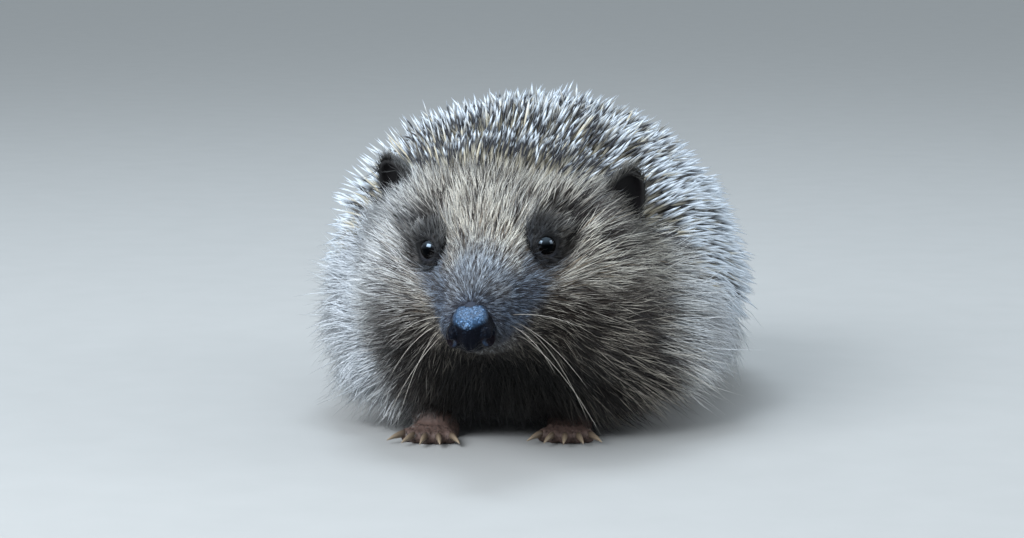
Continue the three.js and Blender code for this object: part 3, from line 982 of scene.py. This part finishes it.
def join_hairs(name, path, radius, side, uv, colour):
    """Closed three-sided hairs in one mesh. `path` holds each hair's rings and then its tip."""
    count, rings = len(path), path.shape[1] - 1
    way = unit(path[:, 1:] - path[:, :-1])
    up = unit(np.cross(way, side[:, None]))
    across = np.cross(up, way)
    turn = np.arange(3) * 2 * math.pi / 3
    outwards = np.cos(turn)[:, None] * across[:, :, None] + np.sin(turn)[:, None] * up[:, :, None]
    ring = path[:, :rings, None] + radius[:, :, None, None] * outwards
    points = np.concatenate([ring.reshape(count, 3 * rings, 3), path[:, rings:]], 1)
    quads, _ = ring_faces(rings, 3)
    tip = np.array([[0, 1, 3], [1, 2, 3], [2, 0, 3]]) + 3 * (rings - 1)
    tris = np.concatenate([tip, [[2, 1, 0]]])
    size = 3 * rings + 1
    copies = (copied_faces(faces, count, size) for faces in (quads, tris))
    piece = mesh_of(name, points.reshape(-1, 3), *copies)
    keep_tint(piece.data, colour.reshape(-1, 3))
    spot = np.stack([np.append(np.tile([0, 0.5, 1], rings), 0.5), share_along(rings)], -1) * PATCH
    local = [(uv[:, None] + spot[faces.ravel()]).reshape(-1, 2) for faces in (tris, quads)]
    layer = piece.data.uv_layers.new(name="OFBake")
    layer.uv.foreach_set("vector", np.concatenate(local).astype(np.float32).ravel())
    return piece


def shared_out(place, slant, triangles):
    """Slices across the animal, light enough for a piece each, of things with so many triangles."""
    order = np.argsort(place[:, 0] + place[:, 1] * slant, kind="stable")
    return np.array_split(order, math.ceil(len(place) * triangles / MOST_TRIANGLES))


def set_in_skin(place, reach, deep):
    """Places near the skin, moved onto it and a little further in, and the way out of it there."""
    value, up = slope(skin_field, place)
    moved = np.clip(value, -reach, reach)[:, None] * up + unit(up) * deep
    return place - moved, unit(up)


def lay_locks(place, normal):
    """How each lock lies: its way along the skin, its lift, its length and its own tone."""
    z, count = zones(place), len(place)
    swing = waves(place, 13, 31) * 8 + waves(place, 5, 32) * 5 + rng.normal(0, 5, count)
    way = swung(hair_way(place, normal, z), normal, np.radians(swing))
    length, tone = hair_length(z), rng.random(count)
    lift = hair_lift(z, length, coat_depth(place)) * uneven(count, 0.1, 0.6, 1.4) * (0.8 + 0.4 * tone)
    return way, lift, length * uneven(count, 0.1, 0.6, 1.3), tone


def grow_fur(name, skin, density, rings, hairs_in_lock, coarse, spread):
    """Locks of hair over the skin: each lock's hairs lean together towards its tip."""
    place, normal, uv = scattered(skin, density / hairs_in_lock)
    way, lift, length, tone = lay_locks(place, normal)
    lock = np.repeat(np.arange(len(place)), hairs_in_lock)
    count = len(lock)
    aside = rng.normal(0, 1, (count, 2)) * spread * (0.35 + 0.65 * ramp(length[lock], 1, 10))[:, None]
    aside[::hairs_in_lock] = 0
    shift = way[lock] * aside[:, :1] + np.cross(normal, way)[lock] * aside[:, 1:]
    root, up = set_in_skin(place[lock] + shift, 2, 0.25)
    way = flattened(way[lock], up)
    side = np.cross(up, way)

    length = length[lock] * uneven(count, 0.13, 0.55, 1.45)
    turn = rng.normal(0, 0.08, (count, 2))
    rise = (lift[lock] + turn[:, 0])[:, None]
    start = way * np.cos(rise) + up * np.sin(rise) + side * turn[:, 1:]
    bend = way * 0.35 - up * 0.55 * np.sin(rise) + side * rng.normal(0, 0.15, (count, 1))
    bend[:, 2] -= 0.12 * ramp(length, 6, 16)
    curl = length[:, None] * bend * 0.5 - shift * 0.8
    t = np.linspace(0, 1, rings + 1)[:, None]
    path = root[:, None] + (length[:, None] * start)[:, None] * t + curl[:, None] * t * t
    path[..., 2] = np.maximum(path[..., 2], LOWEST_HAIR)

    thick = coarse * (0.6 + 0.4 * ramp(length, 1, 11)) * uneven(count, 0.14, 0.6, 1.4)
    radius = thick[:, None] * np.linspace(1, 0.62, rings)
    tone = tone[lock] * 0.66 + rng.random(count) * 0.34
    tone = ((tone - 0.5) * 1.3 + 0.5).clip(0, 1)
    colour = np.stack([fur_tint(root, tone, np.full(count, along)) for along in t[:, 0]], 1)
    colour = np.repeat(colour, [3] * rings + [1], axis=1)
    made = []
    for n, part in enumerate(shared_out(root, 0.6, 6 * (rings - 1) + 4)):
        held = (path[part], radius[part], side[part], uv[lock[part]], colour[part])
        made.append(join_hairs(f"{name}_{n + 1}", *held))
    return made


def grow_whiskers(skin, rings=8):
    """Long pale bristles on the whisker pads and the cheeks behind them."""
    path, side = [], []
    t = np.linspace(0, 1, rings + 1)[:, None]
    for flip, count in WHISKERS:
        for n in range(count):
            row, back = n % 3, rng.random()
            root = np.array([5.2 + 5.5 * back, -85.5 + 9.5 * back, 33.2 + 1.9 * row + rng.normal(0, 0.4)])
            length = rng.uniform(9, 20) + 13 * back
            out = unit(np.array([0.8, 0.12 + 0.4 * back, -0.62 + 0.3 * row + rng.normal(0, 0.12)]))
            droop = np.array([rng.normal(-0.15, 0.1), 0.25, -0.6 - rng.random() * 0.5])
            line = root + length * (out * t + droop * 0.55 * t * t)
            path.append(on_head(line * [flip, 1, 1]))
            side.append(HEAD_TURN @ unit(np.cross(out, [0, 0, 1])))
    path = np.array(path)
    root, _ = set_in_skin(path[:, 0], 3, 0.3)
    path += (root - path[:, 0])[:, None]
    radius = np.tile(np.linspace(0.085, 0.04, rings), (len(path), 1))
    colour = blend(WHISKER_ROOT, WHISKER_TIP, ramp(share_along(rings), 0, 0.35))
    points, quads, _, uvs = skin
    nearest = [np.argmin(((points[quads[:, 0]] - place) ** 2).sum(1)) for place in root]
    colours = np.tile(colour, (len(path), 1, 1))
    return join_hairs("whiskers", path, radius, np.array(side), uvs[nearest, 0], colours)


# ------------------------------------------------------------------ spines
SPINE_INPUTS = {
    "Sides": ("NodeSocketInt", SPINE_SIDES),
    "Bands": ("NodeSocketInt", SPINE_BANDS),
    "Blunt": ("NodeSocketFloat", 0.42),
    "Slender": ("NodeSocketFloat", 1.25),
    "Bend": ("NodeSocketFloat", 0.12),
    "Patch": ("NodeSocketFloat", PATCH),
}


def spaced(place, spacing):
    """The places that are left when none may stand closer than the spacing to one taken before."""
    taken, kept = {}, []
    for n in rng.permutation(len(place)):
        x, y, z = place[n]
        cell = tuple(int(v // spacing) for v in place[n])
        around = ((cell[0] + i % 3 - 1, cell[1] + i // 3 % 3 - 1, cell[2] + i // 9 - 1) for i in range(27))
        others = (other for near in around for other in taken.get(near, ()))
        if all((a - x) ** 2 + (b - y) ** 2 + (c - z) ** 2 >= spacing**2 for a, b, c in others):
            taken.setdefault(cell, []).append((x, y, z))
            kept.append(n)
    return np.array(kept)


def spine_roots(skin):
    """Evenly spread roots above the line where the spines begin: places, normals and UVs."""
    points, quads, _, _ = skin
    middle = points[quads].mean(1)
    allowed = (spiny(middle) + waves(middle, 5, 22) * 2.5 > -1) & (ear_field(to_head(middle)) > 2.4)
    allowed &= taper(middle, *TAIL) > 3.0
    found = scattered(skin, allowed * 14 / SPINE_SPACING**2)
    kept = spaced(found[0], SPINE_SPACING)
    return [values[kept] for values in found]


def spine_tree(material):
    """Geometry Nodes: one spine set on each root and made real."""
    tree = bpy.data.node_groups.new("set spines", "GeometryNodeTree")
    face = tree.interface
    face.new_socket("Geometry", in_out="OUTPUT", socket_type="NodeSocketGeometry")
    face.new_socket("Roots", in_out="INPUT", socket_type="NodeSocketGeometry")
    sockets = {}
    for label, (kind, value) in SPINE_INPUTS.items():
        socket = face.new_socket(label, in_out="INPUT", socket_type=kind)
        socket.default_value = value
        sockets[label] = socket.identifier

    def add(kind, inputs=(), **settings):
        return add_node(tree, kind, inputs, **settings)

    def named(label, kind="FLOAT"):
        return add("GeometryNodeInputNamedAttribute", {"Name": label}, data_type=kind).outputs["Attribute"]

    def calculated(a, operation, b):
        return add("ShaderNodeMath", {0: a, 1: b}, operation=operation).outputs[0]

    def scaled(vector, factor):
        return add("ShaderNodeVectorMath", {0: vector, "Scale": factor}, operation="SCALE").outputs["Vector"]

    def stored(geometry, label, value, kind="FLOAT", domain="POINT"):
        inputs = {"Geometry": geometry, "Name": label, "Value": value}
        node = add("GeometryNodeStoreNamedAttribute", inputs, data_type=kind, domain=domain)
        return node.outputs["Geometry"]

    given = add("NodeGroupInput").outputs
    sizes = {"Vertices": given["Sides"], "Side Segments": given["Bands"]}
    sizes.update({"Radius Top": 0, "Radius Bottom": 1, "Depth": 1})
    cone = add("GeometryNodeMeshCone", sizes, fill_type="TRIANGLE_FAN")
    corner = add("ShaderNodeSeparateXYZ", {0: add("GeometryNodeInputPosition").outputs[0]}).outputs
    to_tip = calculated(1.0, "SUBTRACT", corner["Z"])
    swell = calculated(given["Blunt"], "SUBTRACT", 1.0)
    swell = calculated(calculated(to_tip, "MAXIMUM", 0.02), "POWER", swell)
    tall = calculated(1.0, "SUBTRACT", calculated(to_tip, "POWER", given["Slender"]))
    wide = {axis: calculated(corner[axis], "MULTIPLY", swell) for axis in "XY"}
    marked = stored(stored(cone.outputs["Mesh"], "along", tall), "across", corner["X"])
    shape = {"Geometry": marked, "Position": add("ShaderNodeCombineXYZ", {**wide, "Z": tall}).outputs[0]}
    size = {"X": named("thick"), "Y": named("thick"), "Z": named("length")}
    turn = add("FunctionNodeAlignRotationToVector", {"Vector": named("lie", "FLOAT_VECTOR")}, axis="Z")
    copies = {
        "Points": given["Roots"],
        "Instance": add("GeometryNodeSetPosition", shape).outputs["Geometry"],
        "Rotation": turn.outputs["Rotation"],
        "Scale": add("ShaderNodeCombineXYZ", size).outputs[0],
    }
    placed = add("GeometryNodeInstanceOnPoints", copies).outputs["Instances"]
    real = add("GeometryNodeRealizeInstances", {"Geometry": placed}).outputs["Geometry"]
    along = named("along")
    bent = calculated(calculated(along, "MULTIPLY", along), "MULTIPLY", given["Bend"])
    curve = {"Geometry": real, "Offset": scaled(named("sag", "FLOAT_VECTOR"), bent)}
    curved = add("GeometryNodeSetPosition", curve).outputs["Geometry"]
    spot = add("ShaderNodeCombineXYZ", {"X": calculated(named("across"), "MULTIPLY", 0.5), "Y": along})
    patch = {0: named("root_uv", "FLOAT_VECTOR"), 1: scaled(spot.outputs[0], given["Patch"])}
    unwrapped = add("ShaderNodeVectorMath", patch, operation="ADD").outputs["Vector"]
    baked = stored(curved, "OFBake", unwrapped, "FLOAT2", "CORNER")
    smooth = add("GeometryNodeSetShadeSmooth", {"Geometry": baked}).outputs["Geometry"]
    finished = add("GeometryNodeSetMaterial", {"Geometry": smooth, "Material": material})
    add("NodeGroupOutput", {0: finished.outputs["Geometry"]})
    return tree, sockets


def spine_tint(root, tone, along):
    """Cream at the root, darkened towards it as painted shade between the spines, a dark band, and a pale
    tip; some spines have hardly any band.
    """
    other = (tone * 37.7) % 1
    third = (tone * 91.3) % 1
    m = mirrored(root)
    crown = within(m, x=(36, 20), y=(10, -25))
    side = within(m, x=(24, 38))
    first = ramp(spiny(root), 9, 1) * crown
    top = within(root, y=(40, 0), z=(58, 68))
    left = within(root, x=(0, 20))
    # on the flanks the white tips are longer, on the left side most, partly as painted light
    end = 0.74 + 0.1 * third + 0.02 * crown - (0.15 + 0.05 * left) * side * (1 - top)
    end = end + 0.06 * first + 0.02 * top + 0.045 * waves(root, 8, 51)
    start = end - 0.32 - 0.12 * other - 0.08 * crown + 0.08 * side - 0.04 * first
    band = ramp(along, start - 0.05, start + 0.03) * ramp(along, end + 0.03, end - 0.03)
    plain = 0.12 + 0.6 * within(-root, x=(18, 30)) * within(root, y=(15, -10))
    band *= np.where(other < plain * (1 - crown * 0.7), 0.15, 1.0)
    # painted shade: each spine darkens towards its root, among the other spines
    colour = blend(0, HORN_CREAM, 0.35 + 0.65 * ramp(along, 0.0, 0.45))
    colour = blend(colour, HORN_TIP, ramp(along, end - 0.03, end + 0.04))
    return blend(colour, HORN_DARK, band)


def read_values(mesh, name, width=1):
    found = np.empty(len(mesh.vertices) * width, np.float32)
    mesh.attributes[name].data.foreach_get("value" if width == 1 else "vector", found)
    return found if width == 1 else found.reshape(-1, width)


def set_spines(name, roots, tree, sockets):
    """The spines on one mesh of roots, as a plain piece with its tint."""
    holder = linked("roots", roots)
    modifier = holder.modifiers.new("set spines", "NODES")
    modifier.node_group = tree
    for label, (_, value) in SPINE_INPUTS.items():
        modifier[sockets[label]] = value
    mesh = bpy.data.meshes.new_from_object(holder.evaluated_get(bpy.context.evaluated_depsgraph_get()))
    bpy.data.objects.remove(holder)
    mesh.name = name
    tint = spine_tint(read_values(mesh, "root", 3), read_values(mesh, "tone"), read_values(mesh, "along"))
    keep_tint(mesh, tint)
    for label in ("lie", "sag", "root", "root_uv", "length", "thick", "across", "along", "tone"):
        if label in mesh.attributes:
            mesh.attributes.remove(mesh.attributes[label])
    return linked(name, mesh)


def grow_spines(name, skin, material):
    place, normal, uv = spine_roots(skin)
    z, count = zones(place), len(place)
    calm = 1 - 0.45 * within(place, y=(0, -25))
    swing = (waves(place, 17, 41) * 13 + rng.normal(0, 12, count)) * calm
    way = swung(hair_way(place, normal, z), normal, np.radians(swing))
    edge = ramp(z["spiny"], 0, 12)
    loose = within(-place, x=(8, 22)) * within(place, y=(20, -5), z=(44, 54))
    loose = loose * (rng.random(count) < 0.5)
    lift = np.radians((24 + 18 * edge + 16 * loose) * uneven(count, 0.16, 0.5, 1.4))
    lie = unit(way * np.cos(lift)[:, None] + normal * np.sin(lift)[:, None])
    reach = coat_depth(place) * rng.normal(1.25 - 0.17 * edge, 0.09, count) + 4.6 * loose
    length = np.minimum(reach / np.sin(lift), 14.5 + 4 * edge)
    thick = (0.4 + 0.09 * edge) * (1 - 0.3 * loose) * uneven(count, 0.1, 0.7, 1.3)
    tree, sockets = spine_tree(material)
    made = []
    for n, part in enumerate(shared_out(place, 0.3, SPINE_SIDES * 2 * SPINE_BANDS)):
        roots = bpy.data.meshes.new("roots")
        set_corners(roots, place[part] - normal[part] * 0.6)
        keep_vector(roots, "lie", lie[part])
        keep_vector(roots, "sag", (way[part] - normal[part] * 0.6) * length[part, None] * MM)
        keep_vector(roots, "root", place[part])
        keep_vector(roots, "root_uv", np.pad(uv[part], ((0, 0), (0, 1))))
        keep_number(roots, "length", length[part] * MM)
        keep_number(roots, "thick", thick[part] * MM)
        keep_number(roots, "tone", rng.random(len(part)))
        made.append(set_spines(f"{name}_{n + 1}", roots, tree, sockets))
    return made


# ------------------------------------------------------------------ camera, light and floor
CAMERA_PLACE, CAMERA_TARGET = (0.1158, -0.7170, 0.1382), (0.00619, -0.06180, 0.04486)  # in metres
LAMP_TARGET = (0, 0, 0.04)
LAMPS = {  # place, size, power and colour
    "window light": ((-0.44, -0.68, 0.6), (0.7, 0.45), 11.0, (0.89, 0.94, 1.0)),
    "overhead light": ((-0.12, 0.24, 0.88), (0.36, 0.36), 3.3, (0.76, 0.88, 1.0)),
    "side light": ((0.82, 0.0, 0.4), (0.5, 0.4), 2.3, (0.9, 0.95, 1.0)),
}
FLOOR_HALF = 4


def aim(thing, place, target):
    thing.location = place
    way = Vector(target) - thing.location
    thing.rotation_euler = way.to_track_quat("-Z", "Y").to_euler()


def make_camera():
    data = bpy.data.cameras.new("camera")
    data.lens = 100
    data.sensor_width = 36
    camera = linked("camera", data)
    aim(camera, CAMERA_PLACE, CAMERA_TARGET)
    bpy.context.scene.camera = camera


def make_lamp(name, place, size, power, colour):
    data = bpy.data.lights.new(name, "AREA")
    data.shape = "RECTANGLE"
    data.size, data.size_y = size
    data.energy = power
    data.color = colour
    aim(linked(name, data), place, LAMP_TARGET)


def make_room():
    """Soft light from all round, brighter and cooler above."""
    world = bpy.data.worlds.new("soft room")
    world.use_nodes = True
    tree = world.node_tree
    place = add_node(tree, "ShaderNodeTexCoord").outputs["Generated"]
    height = add_node(tree, "ShaderNodeSeparateXYZ", {0: place}).outputs["Z"]
    sky = graded_colour(tree, height, (0.36, 0.39, 0.43), (0.80, 0.91, 1.0), (0.35, 0.86))
    background = tree.nodes["Background"]
    background.inputs["Strength"].default_value = 1.0
    tree.links.new(sky, background.inputs["Color"])
    bpy.context.scene.world = world


def make_floor():
    mesh = bpy.data.meshes.new("floor")
    corners = [(x * FLOOR_HALF, y * FLOOR_HALF, 0) for x, y in ((-1, -1), (1, -1), (1, 1), (-1, 1))]
    mesh.from_pydata(corners, [], [(0, 1, 2, 3)])
    floor = linked("floor", mesh)
    material, tree, bsdf = shader("matt paper", 0.9, 0.1)
    paper = graded_colour(tree, speckle(tree, 60), (0.40, 0.40, 0.39), (0.43, 0.43, 0.42))
    tree.links.new(paper, bsdf.inputs["Base Color"])
    floor.data.materials.append(material)


def make_studio():
    bpy.context.scene.view_settings.view_transform = "Standard"
    for name, settings in LAMPS.items():
        make_lamp(name, *settings)
    make_room()
    make_floor()


# ------------------------------------------------------------------ the hedgehog
def settle(piece, material, slot, *nodes):
    """Give a finished piece its material and its body, and hide the nodes that it stands for. The slot is
    not used.
    """
    piece.data.materials.clear()
    piece.data.materials.append(material)
    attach(piece, "root")
    if nodes:
        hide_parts(*nodes)


make_camera()
make_studio()
skin, points, quads, normals = make_skin()
whole = (points, quads, normals, unwrap(skin))
keep_tint(skin.data, skin_tint(points))
flesh = ["head", "neck", "trunk", "tail", "ear_left", "ear_right"]
flesh += [f"{part}_{name}" for name in LEGS for part in ("leg", "paw")]
settle(skin, hide_material(), "fur", *flesh)
settle(make_nose(), nose_material(), "nose_leather", "nose")
eye_look = eye_material()
for name, side in (("left", 1), ("right", -1)):
    settle(make_eye(name, side), eye_look, "eye", f"eye_{name}")
claws, claw_nodes = make_claws()
settle(claws, claw_material(), "claw", *claw_nodes)

horn = spine_material()
for piece in grow_spines("spines", whole, horn):
    settle(piece, horn, "spines")

hair = hair_material()
long_ones, short_ones = hair_density(points[quads].mean(1))
fur = grow_fur("long_fur", whole, long_ones, rings=3, hairs_in_lock=6, coarse=0.12, spread=1.15)
fur += grow_fur("short_fur", whole, short_ones, rings=2, hairs_in_lock=3, coarse=0.114, spread=0.5)
fur.append(grow_whiskers(whole))
for piece in fur:
    settle(piece, hair, "fur")
